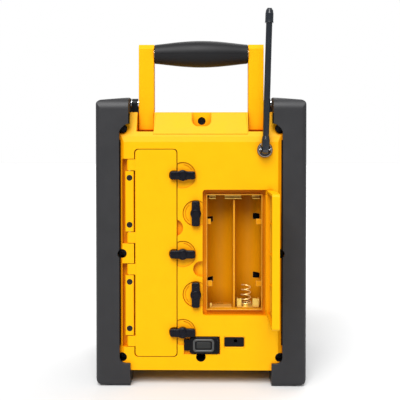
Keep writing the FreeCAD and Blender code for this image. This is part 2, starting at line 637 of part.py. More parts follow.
def antenna():
    centre = (d.mast_x, d.mast_z)
    pivot = (d.mast_depth, d.mast_z)
    collar = cut(rod("y", 7.7, centre, (-2.4, 0)), rod("y", 6.0, centre, (-3, -1.0)),
                 rod("y", 4.45, centre, (-3, 1)))
    node("antenna_collar", rounded(collar, 0.6, lambda edge: edge.CenterOfMass.y < d.rear.value - 2.3
                                   and edge.BoundBox.XLength > 14))
    disc = fuse(rod("y", 5.8, centre, (-3, -1.2)), rod("y", 4.4, centre, (-1.4, 10)),
                rod("y", 5.4, centre, (8.3, 9.6)))
    cheeks = []
    for side in (-1, 1):
        near, far = sorted((side * 4.3, side * 5.7))
        span = (d.mast_x + near, d.mast_x + far)
        cheek = fuse(block(span, (d.mast_depth, -2.8), (d.mast_z - 3.2, d.mast_z + 3.2)),
                     rod("x", 3.2, pivot, span))
        cheeks.append(common(cheek, rod("y", 6.6, centre, (-14, 0))))
    pin = rod("x", 1.0, pivot, (d.mast_x - 5.9, d.mast_x + 5.9))
    turret = cut(fuse(disc, *cheeks), rod("x", 1.0, pivot, (d.mast_x - 7, d.mast_x + 7)))
    node("antenna_turret", leaning(turret))
    node("antenna_pin", leaning(group(pin)))
    foot = doc.addObject("Part::Sphere", "Foot")
    foot.setExpression("Radius", d.mast_sleeve.text)
    place(foot, d.mast_x, d.mast_depth, d.mast_z)
    middle = (d.mast_x, d.mast_depth)
    sleeve = fuse(foot, rod("z", d.mast_sleeve, middle, (d.mast_z, 247.5)),
                  cone("z", (d.mast_sleeve, d.mast_rod + 0.3), middle, (247.5, 250.5)))
    sleeve = cut(sleeve, rod("x", 1.05, pivot, (d.mast_x - 7, d.mast_x + 7)),
                 rod("z", 2.2, middle, (243, 252)))
    node("antenna_sleeve", leaning(sleeve))
    whip = fuse(rod("z", 2.15, middle, (243, 251)), rod("z", d.mast_rod, middle, (250.5, 362.5)),
                rod("z", 1.6, middle, (362, 372)))
    node("antenna_whip", leaning(whip))
    cap = turned([(0, 0), (4.35, 0), (4.1, 2.5), (4.1, 9), (3.6, 12.4), (2.4, 14.4), (0, 15.2)],
                 d.mast_x, d.mast_depth, d.mast_top - 15.2)
    cap = cut(cap, rod("z", 1.6, middle, (360, 372)), rod("z", d.mast_rod, middle, (360, 362.5)))
    node("antenna_tip", leaning(cap))


# ---------------------------------------------------------------- carrying handle

def handle():
    pivot = (d.pivot_depth, d.pivot_height)
    axle = (d.pivot_depth, d.grip_height)
    profile = [(d.arm_rear, d.arm_low + 1), (d.arm_rear + 1, d.arm_low), (d.arm_front - 1, d.arm_low),
               (d.arm_front, d.arm_low + 1), (d.arm_front, d.arm_high - 5), (d.arm_front - 5, d.arm_high),
               (d.arm_rear + 3.5, d.arm_high), (d.arm_rear, d.arm_high - 4.6)]
    bar = rounded(prism("YZ", profile, (d.arm_inner, d.arm_outer)), 1.0,
                  along("z", ("z", 260, 340)))
    right = cut(bar, rod("x", d.pivot_pin + 0.05, pivot, (d.arm_outer - 12, d.arm_outer + 1)),
                rod("x", d.grip_core + 0.05, axle, (0, d.arm_outer - 3)))
    node("handle_arm_right", right)
    node("handle_arm_left", mirrored(right))
    half = d.arm_inner - 0.2
    swell = [(d.grip_end, -half), (d.grip_end + 1.9, -half * 0.7), (d.grip_mid - 0.7, -half * 0.35),
             (d.grip_mid, 0), (d.grip_mid - 0.7, half * 0.35), (d.grip_end + 1.9, half * 0.7),
             (d.grip_end, half)]
    grip = turned([(0, -half), *swell, (0, half)], 0, d.pivot_depth, d.grip_height, "x")
    node("handle_grip", cut(grip, rod("x", d.grip_core + 0.05, axle, (-half - 1, half + 1))))
    reach = d.arm_outer - 3.2
    node("handle_core", cut(rod("x", d.grip_core, axle, (-reach, reach)),
                            rod("x", d.grip_core - 1.5, axle, (-reach - 1, reach + 1))))


def handle_mounts():
    """Black eyes on the housing's ears, their pins, washers, and the pads the folded arms rest on."""
    pivot = (d.pivot_depth, d.pivot_height)
    inner, outer = d.arm_outer + 1.1, d.guard_cap_edge - 0.9
    eye = fuse(rod("x", 5.6, pivot, (inner, outer)),
               block((inner, outer), (21.4, 32.6), (d.crown, d.pivot_height)))
    eye = cut(eye, rod("x", d.pivot_pin, pivot, (inner - 1, outer + 1)))
    node("handle_brackets", group(eye, mirrored(eye)))
    pin = rod("x", d.pivot_pin, pivot, (d.arm_outer - 11, outer + 0.7))
    node("handle_pivot_pins", group(pin, mirrored(pin)))
    rings = []
    for low, high in ((d.arm_outer + 0.3, inner), (outer, outer + 0.7)):
        ring = cut(rod("x", 4.8, pivot, (low, high)), rod("x", d.pivot_pin, pivot, (low - 1, high + 1)))
        rings += [ring, mirrored(ring)]
    node("handle_washers", group(*rings))
    pad = soft_block((d.arm_inner + 2, d.arm_outer - 2), (62, 72), (d.top, 277.1), "z", 2.0)
    node("handle_rest_pads", group(pad, mirrored(pad)))


# ---------------------------------------------------------------- speaker and front controls

def speaker():
    centre = (0, d.speaker_z)
    radius = d.speaker_radius
    slots = [block((-60, 60), (d.front - 1, 156), (d.speaker_z + step * 8 - 2, d.speaker_z + step * 8 + 2))
             for step in range(-6, 7)]
    spokes = [block((x - 1, x + 1), (d.front - 1, 156), (40, 160)) for x in (-27.0, 0.0, 27.0)]
    vents = cut(common(fuse(*slots), rod("y", radius - 9, centre, (d.front - 1, 156))), *spokes)
    disc = rounded(rod("y", radius, centre, (d.front, 153)), 1.2,
                   lambda edge: edge.CenterOfMass.y > d.rear.value + 152)
    node("speaker_grille", cut(disc, vents))
    node("speaker_basket", turned([(56, 0), (50.5, 0), (50.5, -2), (47, -4), (31, -38), (0, -38), (0, -40),
                                   (32.5, -40), (49, -6), (56, -3)], 0, d.front - 3, d.speaker_z, "y"))
    node("speaker_cone", turned([(48.4, -1.2), (46.5, 0.2), (44.6, -1.2), (43.6, -1.6), (17, -22),
                                 (9, -18.5), (0, -16.5), (0, -17.7), (9, -19.7), (17, -23.4),
                                 (44.6, -2.4), (48.4, -2.2)],
                                0, d.front - 3.2, d.speaker_z, "y"))
    node("speaker_magnet", turned([(0, 0), (36, 0), (38, 1.5), (38, 15), (36, 16.5), (0, 16.5)],
                                  0, d.front - 3 - 40 - 16.5, d.speaker_z, "y"))


def control_panel():
    plate = soft_block((-d.panel_half + 0.2, d.panel_half - 0.2), (d.front - 1.5, d.panel_face),
                       (d.panel_low + 0.2, d.panel_high - 0.2), "y", 4)
    back = block((-d.panel_half + 3.3, d.panel_half - 3.3), (d.front - 4, d.front - 1.4),
                 (d.panel_low + 3.3, d.panel_high - 3.3))
    window = block((-30, 30), (d.front - 5, 156), (214, 244))
    seat = block((-32, 32), (d.front + 0.2, 156), (212, 246))
    shafts = [rod("y", 4.6, (x, d.knob_z), (d.front - 5, 156)) for x in (-d.knob_x, d.knob_x)]
    power = rod("y", 6 + d.button_gap, (-d.knob_x, d.button_z), (d.front - 5, 156))
    presets = [block((x - 5.5 - d.button_gap, x + 5.5 + d.button_gap), (d.front - 5, 156),
                     (d.button_z - 4.5 - d.button_gap, d.button_z + 4.5 + d.button_gap))
               for x in preset_places()]
    node("control_panel", cut(fuse(plate, back), window, seat, *shafts, power, *presets))
    node("display_lens", soft_block((-31.8, 31.8), (d.front + 0.2, d.front + 1.9), (212.2, 245.8), "y", 1.5))
    node("lcd_module", cut(block((-34, 34), (138, d.front - 4), (208, 250)),
                           block((-28, 28), (d.front - 5, d.front), (216, 242))))


def preset_places():
    """Left to right as seen from the speaker side."""
    return [d.button_pitch * step for step in (1.5, 0.5, -0.5, -1.5)]


def controls():
    profile = [(0, 1.0), (d.knob_radius, 1.0), (d.knob_radius, 8), (d.knob_radius - 1.2, 10.4),
               (d.knob_radius - 3, 11.2), (0, 11.2)]
    encoders = []
    for name, side in (("volume_knob", -1), ("tuning_knob", 1)):
        x = d.knob_x * side
        centre = (x, d.knob_z)
        cap = turned(profile, x, d.panel_face - 0.5, d.knob_z, "y")
        mark = block((x - 0.6, x + 0.6), (161.4, 163), (d.knob_z + 4, d.knob_z + 13))
        node(name, cut(fuse(cap, rod("y", 3.0, centre, (140, 153))), mark))
        case = fuse(block((x - 7, x + 7), (130, 138.6), (d.knob_z - 7, d.knob_z + 7)),
                    rod("y", 4.4, centre, (138.6, 150.5)))
        encoders.append(cut(case, rod("y", 3.05, centre, (139.4, 152))))
    node("rotary_encoders", group(*encoders))
    power = fuse(rod("y", 6.0, (-d.knob_x, d.button_z), (145.4, 153.2)),
                 rod("y", 7.2, (-d.knob_x, d.button_z), (143.6, 145.6)))
    node("power_button", power)
    for number, x in enumerate(preset_places(), 1):
        cap = soft_block((x - 5.5, x + 5.5), (145.4, 153.2), (d.button_z - 4.5, d.button_z + 4.5), "y", 1.2)
        skirt = block((x - 6.6, x + 6.6), (143.6, 145.6), (d.button_z - 5.6, d.button_z + 5.6))
        node(f"preset_button_{number}", fuse(cap, skirt))
    node("keypad_board", block((-70, 50), (139.6, 141.2), (183, 202)))


# ---------------------------------------------------------------- boards inside

def electronics():
    board = block((-60, 68), (60, 61.6), (150, 240))
    holes = [rod("y", 1.6, (x, z), (59, 63)) for x in (-56, 64) for z in (154, 236)]
    chips = [block((x, x + 14), (61.6, 63.4), (z, z + 14)) for x, z in ((-20, 200), (8, 176), (30, 205))]
    node("main_board", fuse(cut(board, *holes), *chips))
    base = block((-50, -28), (61.6, 64.6), (156, 190))
    fins = [block((x, x + 1.4), (64.6, 80), (156, 190)) for x in (-50.0, -44.9, -39.7, -34.6, -29.4)]
    node("heat_sink", fuse(base, *fins))
    can = cut(block((30, 60), (61.6, 71), (160, 195)), block((30.6, 59.4), (61, 70.4), (160.6, 194.4)))
    node("tuner_module", can)


# ---------------------------------------------------------------- build, check and write

def build():
    for make in (rear_housing, front_housing, bumpers, housing_screws, battery_tub, battery_spring,
                 battery_contacts, battery_door, battery_door_gasket, battery_door_pin, storage_tub,
                 storage_cover, hinge_retainers, retainer_screws, cover_hinge_pins, latches,
                 dc_socket, aux_socket, antenna, handle, handle_mounts, speaker, control_panel,
                 controls, electronics):
        make()
        doc.recompute()


def check():
    for item in doc.Objects:
        if "Invalid" in item.State or "Error" in item.State:
            raise RuntimeError(f"{item.Name} ({item.Label}) failed: {item.State}")
    for item in nodes:
        if item.Shape.isNull() or not item.Shape.isValid():
            raise RuntimeError(f"{item.Label} has no valid shape")


def write():
    os.makedirs("parts", exist_ok=True)
    whole = FreeCAD.BoundBox()
    for item in nodes:
        item.Shape.exportStep(f"parts/{item.Label}.step")
        whole.add(item.Shape.BoundBox)
        print(f"{item.Label}: {len(item.Shape.Solids)} solid(s), {item.Shape.Volume / 1000:.2f} cm3")
    print(f"{len(nodes)} sub-parts, box {whole}")


build()
check()
write()
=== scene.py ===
import math

import bmesh
import bpy
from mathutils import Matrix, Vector


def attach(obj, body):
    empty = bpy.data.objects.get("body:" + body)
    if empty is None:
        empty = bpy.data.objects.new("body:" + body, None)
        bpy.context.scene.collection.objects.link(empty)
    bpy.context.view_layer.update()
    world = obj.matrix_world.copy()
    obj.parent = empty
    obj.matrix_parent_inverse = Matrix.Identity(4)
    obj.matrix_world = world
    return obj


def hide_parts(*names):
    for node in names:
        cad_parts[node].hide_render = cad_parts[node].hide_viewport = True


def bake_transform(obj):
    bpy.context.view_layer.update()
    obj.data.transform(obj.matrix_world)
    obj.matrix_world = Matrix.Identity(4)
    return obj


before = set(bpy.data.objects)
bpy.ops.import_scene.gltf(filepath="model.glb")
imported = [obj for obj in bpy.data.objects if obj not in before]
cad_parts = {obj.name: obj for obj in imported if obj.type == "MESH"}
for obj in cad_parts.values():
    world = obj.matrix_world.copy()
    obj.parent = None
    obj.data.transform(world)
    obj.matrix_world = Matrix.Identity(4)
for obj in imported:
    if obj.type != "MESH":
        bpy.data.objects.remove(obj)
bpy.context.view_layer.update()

MM = 0.001
REAR = -0.05075  # y of the rear face; depths below are behind it, in mm


def at(x, depth, z):
    """Point in metres from x, depth behind the rear face and height, in mm."""
    return Vector((x * MM, REAR + depth * MM, z * MM))


# ---------------------------------------------------------------- materials

GRAIN_DETAIL = 3.0
PATCH_SCALE, PATCH_DETAIL = 60.0, 4.0
EDGE_WEAR_AND_HIGHLIGHT_FROM, EDGE_WEAR_AND_HIGHLIGHT_TO = 0.995, 0.80  # cosine between the softened and the plain normal where the edge tint of wear and painted highlight starts and is full
OPEN_SKY, CLOSED_IN = 0.95, 0.25  # share of open directions where the painted crevice shade starts and is full


def link(tree, source, target):
    tree.links.new(source, target)


def finish_material(name, color, rough, grain=900.0, grain_depth=0.03, mottle=0.04, rough_span=0.06,
                    metal=0.0, specular=0.5, coat=0.0, edge=0.0, edge_color=None, stretch=(1, 1, 1),
                    anisotropic=0.0, painted_crevice_shade=None, reach=12.0):
    """Procedural finish: fine grain as bump, slow mottling in colour, uneven roughness.

    edge is the width in mm of softened edges, edge_color their lighter tint, which is wear and a
    painted highlight, the crevice colour the painted shade in corners and recesses, and reach how far
    in mm a surface looks for a neighbour.
    """
    made = bpy.data.materials.new(name)
    made.use_nodes = True
    tree = made.node_tree
    shader = tree.nodes["Principled BSDF"]
    shader.inputs["Metallic"].default_value = metal
    shader.inputs["Specular IOR Level"].default_value = specular
    shader.inputs["Coat Weight"].default_value = coat
    shader.inputs["Anisotropic"].default_value = anisotropic
    coords = tree.nodes.new("ShaderNodeTexCoord")
    mapping = tree.nodes.new("ShaderNodeMapping")
    mapping.inputs["Scale"].default_value = stretch
    link(tree, coords.outputs["Object"], mapping.inputs["Vector"])

    fine = tree.nodes.new("ShaderNodeTexNoise")
    fine.inputs["Scale"].default_value = grain
    fine.inputs["Detail"].default_value = GRAIN_DETAIL
    link(tree, mapping.outputs["Vector"], fine.inputs["Vector"])
    bump = tree.nodes.new("ShaderNodeBump")
    bump.inputs["Strength"].default_value = 1.0
    bump.inputs["Distance"].default_value = grain_depth * MM
    link(tree, fine.outputs["Fac"], bump.inputs["Height"])
    link(tree, bump.outputs["Normal"], shader.inputs["Normal"])

    slow = tree.nodes.new("ShaderNodeTexNoise")
    slow.inputs["Scale"].default_value = PATCH_SCALE
    slow.inputs["Detail"].default_value = PATCH_DETAIL
    link(tree, coords.outputs["Object"], slow.inputs["Vector"])
    ramp = tree.nodes.new("ShaderNodeValToRGB")
    ramp.color_ramp.elements[0].position = 0.3
    ramp.color_ramp.elements[1].position = 0.7
    ramp.color_ramp.elements[0].color = (*[c * (1 - mottle) for c in color], 1)
    ramp.color_ramp.elements[1].color = (*[min(1.0, c * (1 + mottle)) for c in color], 1)
    link(tree, slow.outputs["Fac"], ramp.inputs["Fac"])
    last = ramp.outputs["Color"]

    if edge > 0:
        soft = tree.nodes.new("ShaderNodeBevel")
        soft.samples = 4
        soft.inputs["Radius"].default_value = edge * MM
        link(tree, soft.outputs["Normal"], bump.inputs["Normal"])
        # Lighter tint on the edges, broken up by the slow noise: wear together with a painted highlight.
        if edge_color is not None:
            plain = tree.nodes.new("ShaderNodeNewGeometry")
            turn = tree.nodes.new("ShaderNodeVectorMath")
            turn.operation = "DOT_PRODUCT"
            link(tree, soft.outputs["Normal"], turn.inputs[0])
            link(tree, plain.outputs["Normal"], turn.inputs[1])
            wear_and_highlight = tree.nodes.new("ShaderNodeMapRange")
            wear_and_highlight.inputs["From Min"].default_value = EDGE_WEAR_AND_HIGHLIGHT_FROM
            wear_and_highlight.inputs["From Max"].default_value = EDGE_WEAR_AND_HIGHLIGHT_TO
            link(tree, turn.outputs["Value"], wear_and_highlight.inputs["Value"])
            broken = tree.nodes.new("ShaderNodeMath")
            broken.operation = "MULTIPLY"
            link(tree, wear_and_highlight.outputs["Result"], broken.inputs[0])
            link(tree, slow.outputs["Fac"], broken.inputs[1])
            mix = tree.nodes.new("ShaderNodeMix")
            mix.data_type = "RGBA"
            mix.inputs["B"].default_value = (*edge_color, 1)
            link(tree, broken.outputs["Value"], mix.inputs["Factor"])
            link(tree, last, mix.inputs["A"])
            last = mix.outputs["Result"]
    # Painted shade: corners and recesses that ambient occlusion finds take on a dark warm tint.
    if painted_crevice_shade is not None:
        near = tree.nodes.new("ShaderNodeAmbientOcclusion")
        near.samples = 8
        near.inputs["Distance"].default_value = reach * MM
        deep = tree.nodes.new("ShaderNodeMapRange")
        deep.inputs["From Min"].default_value = OPEN_SKY
        deep.inputs["From Max"].default_value = CLOSED_IN
        link(tree, near.outputs["AO"], deep.inputs["Value"])
        tint = tree.nodes.new("ShaderNodeMix")
        tint.data_type = "RGBA"
        tint.inputs["B"].default_value = (*painted_crevice_shade, 1)
        link(tree, deep.outputs["Result"], tint.inputs["Factor"])
        link(tree, last, tint.inputs["A"])
        last = tint.outputs["Result"]
    link(tree, last, shader.inputs["Base Color"])

    uneven = tree.nodes.new("ShaderNodeMapRange")
    uneven.inputs["To Min"].default_value = max(0.02, rough - rough_span)
    uneven.inputs["To Max"].default_value = min(1.0, rough + rough_span)
    link(tree, slow.outputs["Fac"], uneven.inputs["Value"])
    link(tree, uneven.outputs["Result"], shader.inputs["Roughness"])
    return made


YELLOW = (0.76, 0.368, 0.0005)
# Darker copy of the yellow plastic for inside the bays: painted shade.
YELLOW_SHADED_INNER = (0.60, 0.25, 0.001)
# Each edge_color below is lighter than its body: wear together with a painted highlight. Each crevice
# colour is painted shade.
MATERIALS = {
    "yellow": finish_material("yellow_moulded", YELLOW, 0.40, grain=1400, grain_depth=0.02, mottle=0.02,
                              specular=0.09, edge=0.35, edge_color=(0.80, 0.44, 0.03),
                              painted_crevice_shade=(0.70, 0.20, 0.0), reach=9.0),
    # Bright rim tint is a painted highlight; the strong crevice colour is painted shade deep in the
    # bays.
    "yellow_inner_shaded": finish_material("yellow_inner_shaded", YELLOW_SHADED_INNER, 0.5, grain=1000, grain_depth=0.02,
                                    mottle=0.03, specular=0.12, edge=0.5, edge_color=(0.95, 0.72, 0.30),
                                    painted_crevice_shade=(0.36, 0.12, 0.0), reach=20.0),
    "seal": finish_material("silicone_seal", (0.60, 0.30, 0.004), 0.5, grain=1000, grain_depth=0.02,
                            mottle=0.05, specular=0.2),
    # Lighter edge tint on the bumpers: painted highlight along the rims, with wear.
    "bumper": finish_material("bumper_rubber", (0.019, 0.019, 0.021), 0.44, grain=1600, grain_depth=0.04,
                              mottle=0.08, specular=0.30, edge=1.0, edge_color=(0.05, 0.05, 0.052)),
    "latch": finish_material("latch_plastic", (0.003, 0.003, 0.006), 0.26, grain=1500, grain_depth=0.01,
                             mottle=0.1, specular=0.16),
    "grip": finish_material("grip_rubber", (0.010, 0.010, 0.011), 0.44, grain=1300, grain_depth=0.03,
                            mottle=0.08, specular=0.17),
    "antenna": finish_material("antenna_coating", (0.005, 0.008, 0.013), 0.2, grain=900,
                               grain_depth=0.01, mottle=0.1, specular=0.6, coat=0.4, edge=0.3),
    "flap": finish_material("flap_rubber", (0.003, 0.003, 0.004), 0.34, grain=1500, grain_depth=0.02,
                            mottle=0.08, specular=0.12, edge=0.3, edge_color=(0.02, 0.02, 0.024)),
    # Lighter and mid grey copies of the flap rubber: painted sheen on the raised frame and the panel
    # inside it.
    "flap_frame": finish_material("flap_frame", (0.045, 0.047, 0.047), 0.38, grain=1500,
                                  grain_depth=0.02, mottle=0.08, specular=0.4),
    "flap_panel": finish_material("flap_panel", (0.016, 0.017, 0.017), 0.4, grain=1500,
                                  grain_depth=0.02, mottle=0.08, specular=0.25),
    "black": finish_material("black_plastic", (0.004, 0.004, 0.005), 0.36, grain=1700, grain_depth=0.03,
                             mottle=0.08, specular=0.12, edge=0.4, edge_color=(0.02, 0.02, 0.02)),
    # Dead black that stands in for the shade in gaps, wells and pockets: painted shade.
    "shade_black": finish_material("painted_shade_black", (0.003, 0.003, 0.003), 0.9, grain=1500, grain_depth=0.1,
                            mottle=0.2, specular=0.05),
    "screw": finish_material("black_oxide", (0.02, 0.02, 0.022), 0.35, grain=700, grain_depth=0.02,
                             mottle=0.15, metal=0.7, edge=0.2),
    "ring": finish_material("antenna_ring", (0.50, 0.42, 0.34), 0.3, grain=900, grain_depth=0.01,
                            mottle=0.1, metal=0.8),
    "chrome": finish_material("bright_steel", (0.78, 0.78, 0.80), 0.14, grain=500, grain_depth=0.01,
                              mottle=0.04, metal=1.0, rough_span=0.04),
    "steel": finish_material("drawn_steel", (0.80, 0.66, 0.40), 0.26, grain=1200, grain_depth=0.02,
                             mottle=0.06, metal=1.0, stretch=(1, 1, 0.1), anisotropic=0.3),
    "spring": finish_material("spring_wire", (0.84, 0.60, 0.24), 0.34, grain=1200, grain_depth=0.02,
                              mottle=0.06, metal=0.6),
    "contact": finish_material("contact_sheet", (0.78, 0.54, 0.12), 0.34, grain=800, grain_depth=0.02,
                               mottle=0.06, metal=0.7),
    "cone": finish_material("cone_paper", (0.03, 0.03, 0.03), 0.85, grain=500, grain_depth=0.15,
                            mottle=0.15, specular=0.2),
    "speaker_steel": finish_material("speaker_steel", (0.05, 0.05, 0.055), 0.4, grain=900,
                                     grain_depth=0.02, mottle=0.08, metal=0.6),
    "magnet": finish_material("ferrite", (0.06, 0.06, 0.06), 0.6, grain=700, grain_depth=0.06,
                              mottle=0.15, metal=0.3),
    "board": finish_material("solder_mask", (0.02, 0.16, 0.06), 0.35, grain=400, grain_depth=0.03,
                             mottle=0.15, coat=0.3),
    "aluminium": finish_material("extruded_aluminium", (0.6, 0.6, 0.62), 0.35, grain=900,
                                 grain_depth=0.02, mottle=0.05, metal=1.0, stretch=(1, 1, 0.05)),
    "button": finish_material("button_plastic", (0.10, 0.10, 0.105), 0.45, grain=1500,
                              grain_depth=0.03, mottle=0.06, specular=0.35, edge=0.4),
    "red": finish_material("button_red", (0.5, 0.02, 0.012), 0.4, grain=1500, grain_depth=0.02,
                           mottle=0.06, edge=0.4),
    "lcd": finish_material("display_glass", (0.30, 0.38, 0.24), 0.25, grain=300, grain_depth=0.005,
                           mottle=0.05, coat=0.5),
    "ink": finish_material("display_ink", (0.02, 0.025, 0.02), 0.3, grain=300, grain_depth=0.005,
                           mottle=0.1),
    "print": finish_material("panel_print", (0.72, 0.72, 0.70), 0.6, grain=2200, grain_depth=0.01,
                             mottle=0.06, specular=0.3),
}


def clear_lens():
    made = bpy.data.materials.new("clear_lens")
    made.use_nodes = True
    tree = made.node_tree
    shader = tree.nodes["Principled BSDF"]
    shader.inputs["Transmission Weight"].default_value = 0.9
    shader.inputs["IOR"].default_value = 1.49
    shader.inputs["Coat Weight"].default_value = 0.3
    coords = tree.nodes.new("ShaderNodeTexCoord")
    noise = tree.nodes.new("ShaderNodeTexNoise")
    noise.inputs["Scale"].default_value = 90.0
    link(tree, coords.outputs["Object"], noise.inputs["Vector"])
    ramp = tree.nodes.new("ShaderNodeValToRGB")
    ramp.color_ramp.elements[0].color = (0.80, 0.84, 0.82, 1)
    ramp.color_ramp.elements[1].color = (0.88, 0.90, 0.88, 1)
    link(tree, noise.outputs["Fac"], ramp.inputs["Fac"])
    link(tree, ramp.outputs["Color"], shader.inputs["Base Color"])
    span = tree.nodes.new("ShaderNodeMapRange")
    span.inputs["To Min"].default_value = 0.03
    span.inputs["To Max"].default_value = 0.12
    link(tree, noise.outputs["Fac"], span.inputs["Value"])
    link(tree, span.outputs["Result"], shader.inputs["Roughness"])
    return made


MATERIALS["lens"] = clear_lens()

FINISHES = {
    "yellow": "rear_housing front_housing storage_cover hinge_retainer_lower hinge_retainer_upper "
              "battery_door handle_arm_right handle_arm_left",
    "yellow_inner_shaded": "battery_tub storage_tub",
    "bumper": "bumper_right bumper_left handle_rest_pads",
    "latch": "cover_latch_top cover_latch_middle cover_latch_bottom door_latch_upper door_latch_lower",
    "grip": "handle_grip",
    "antenna": "antenna_collar antenna_turret antenna_sleeve antenna_whip antenna_tip",
    "flap": "dc_flap dc_flap_anchor",
    "seal": "battery_door_gasket",
    "black": "aux_panel aux_jack handle_brackets dc_jack speaker_grille control_panel volume_knob "
             "tuning_knob",
    "screw": "housing_screws retainer_screws",
    "chrome": "handle_washers handle_pivot_pins antenna_pin",
    "steel": "battery_spring battery_door_pin cover_hinge_pins handle_core",
    "contact": "battery_contacts",
    "cone": "speaker_cone",
    "speaker_steel": "speaker_basket",
    "magnet": "speaker_magnet",
    "board": "main_board keypad_board",
    "aluminium": "heat_sink tuner_module rotary_encoders",
    "button": "preset_button_1 preset_button_2 preset_button_3 preset_button_4",
    "red": "power_button",
    "lcd": "lcd_module",
    "lens": "display_lens",
}


def paint(ob, key):
    ob.data.materials.clear()
    ob.data.materials.append(MATERIALS[key])


for key, names in FINISHES.items():
    for name in names.split():
        paint(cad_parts[name], key)


# ---------------------------------------------------------------- mesh helpers

def add_object(name, data):
    made = bpy.data.objects.new(name, data)
    bpy.context.scene.collection.objects.link(made)
    return made


def finished(name, bm, key, sharp=40, merge=1e-6):
    """Object from a bmesh in metres, with a material and sharp edges above an angle in degrees."""
    bmesh.ops.remove_doubles(bm, verts=bm.verts, dist=merge)
    bmesh.ops.recalc_face_normals(bm, faces=bm.faces)
    mesh = bpy.data.meshes.new(name)
    bm.to_mesh(mesh)
    bm.free()
    mesh.shade_smooth()
    mesh.set_sharp_from_angle(angle=math.radians(sharp))
    mesh.materials.append(MATERIALS[key])
    return add_object(name, mesh)


def close_up(name, bm, key, body, replaces=(), sharp=40):
    """Finished piece that rides on a body, in place of CAD nodes where some are named."""
    made = finished(name, bm, key, sharp)
    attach(made, body)
    if replaces:
        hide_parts(*replaces)


def loft(bm, rings, caps=True):
    """Skin closed rings of points, given in metres; caps close the first and last ring."""
    made = [[bm.verts.new(point) for point in ring] for ring in rings]
    count = len(made[0])
    for first, second in zip(made, made[1:]):
        for i in range(count):
            j = (i + 1) % count
            bm.faces.new((first[i], first[j], second[j], second[i]))
    if caps:
        bm.faces.new(list(reversed(made[0])))
        bm.faces.new(made[-1])


def rounded_rectangle(width, height, radius, steps=6):
    """Closed outline round the origin."""
    points = []
    for cx, cy, start in ((1, 1, 0), (-1, 1, 90), (-1, -1, 180), (1, -1, 270)):
        for step in range(steps + 1):
            angle = math.radians(start + 90 * step / steps)
            points.append((cx * (width / 2 - radius) + radius * math.cos(angle),
                           cy * (height / 2 - radius) + radius * math.sin(angle)))
    return points


def circle(radius, count=48):
    return [(radius * math.cos(2 * math.pi * i / count), radius * math.sin(2 * math.pi * i / count))
            for i in range(count)]


def inset(points, amount):
    """Outline moved inwards along its corner normals."""
    moved, count = [], len(points)
    for i, (x, y) in enumerate(points):
        (ax, ay), (bx, by) = points[i - 1], points[(i + 1) % count]
        first, second = Vector((x - ax, y - ay)), Vector((bx - x, by - y))
        normal = Vector((0, 0))
        for run in (first, second):
            if run.length > 1e-9:
                normal += Vector((-run.y, run.x)).normalized()
        normal.normalize()
        moved.append((x + normal.x * amount, y + normal.y * amount))
    return moved


def pillow(bm, outline, centre, back, face, radius, steps=5, dish=0.0):
    """Outline in x, z round a centre, built from one depth to another, with a rounded face edge."""
    sign = 1 if face > back else -1
    levels = [(back, 0.0)]
    for step in range(steps + 1):
        angle = math.pi / 2 * step / steps
        levels.append((face - sign * radius * (1 - math.sin(angle)), radius * (1 - math.cos(angle))))
    if dish:
        rim = radius * 1.6
        levels += [(face, rim), (face - sign * dish, rim + dish)]
    rings = []
    for depth, move in levels:
        ring = inset(outline, move) if move else outline
        rings.append([at(centre[0] + x, depth, centre[1] + z) for x, z in ring])
    loft(bm, rings)


def turned(bm, profile, centre, axis, segments=64, caps=True):
    """Surface of revolution from (radius, along) pairs about an axis through a point, in mm."""
    rings = []
    for radius, along in profile:
        ring = []
        for i in range(segments):
            angle = 2 * math.pi * i / segments
            a, b = radius * math.cos(angle), radius * math.sin(angle)
            x, y, z = {"x": (along, a, b), "y": (a, along, b), "z": (a, b, along)}[axis]
            ring.append(at(centre[0] + x, centre[1] + y, centre[2] + z))
        rings.append(ring)
    loft(bm, rings, caps)


def tube(bm, path, radius, sides=10):
    """Round wire along a path of points in metres."""
    rings, normal = [], Vector((0, 0, 1))
    for i, point in enumerate(path):
        ahead = (path[min(i + 1, len(path) - 1)] - path[max(i - 1, 0)]).normalized()
        side = ahead.cross(normal).normalized()
        up = side.cross(ahead)
        turns = [2 * math.pi * k / sides for k in range(sides)]
        rings.append([point + (side * math.cos(turn) + up * math.sin(turn)) * radius * MM
                      for turn in turns])
    loft(bm, rings)


def bar(bm, x, depth, z):
    """Small rounded-edge block between ends along each axis, in mm."""
    width, height = x[1] - x[0], z[1] - z[0]
    corner = min(width, height) * 0.25
    pillow(bm, rounded_rectangle(width, height, corner, 3), ((x[0] + x[1]) / 2, (z[0] + z[1]) / 2),
           depth[0], depth[1], min(corner, abs(depth[1] - depth[0]) * 0.4), 2)


# ---------------------------------------------------------------- handle

GRIP_HALF, GRIP_MID, GRIP_END, GRIP_BORE = 48.0, 13.7, 9.9, 6.1
GRIP_ROLL = 1.2  # length of the rolled end
GRIP_DEPTH, GRIP_Z = 27.0, 336.0


def grip_radius(share):
    """Radius of the barrel at a share of its swollen half length."""
    return GRIP_END + (GRIP_MID - GRIP_END) * math.cos(share * math.pi / 2) ** 1.15


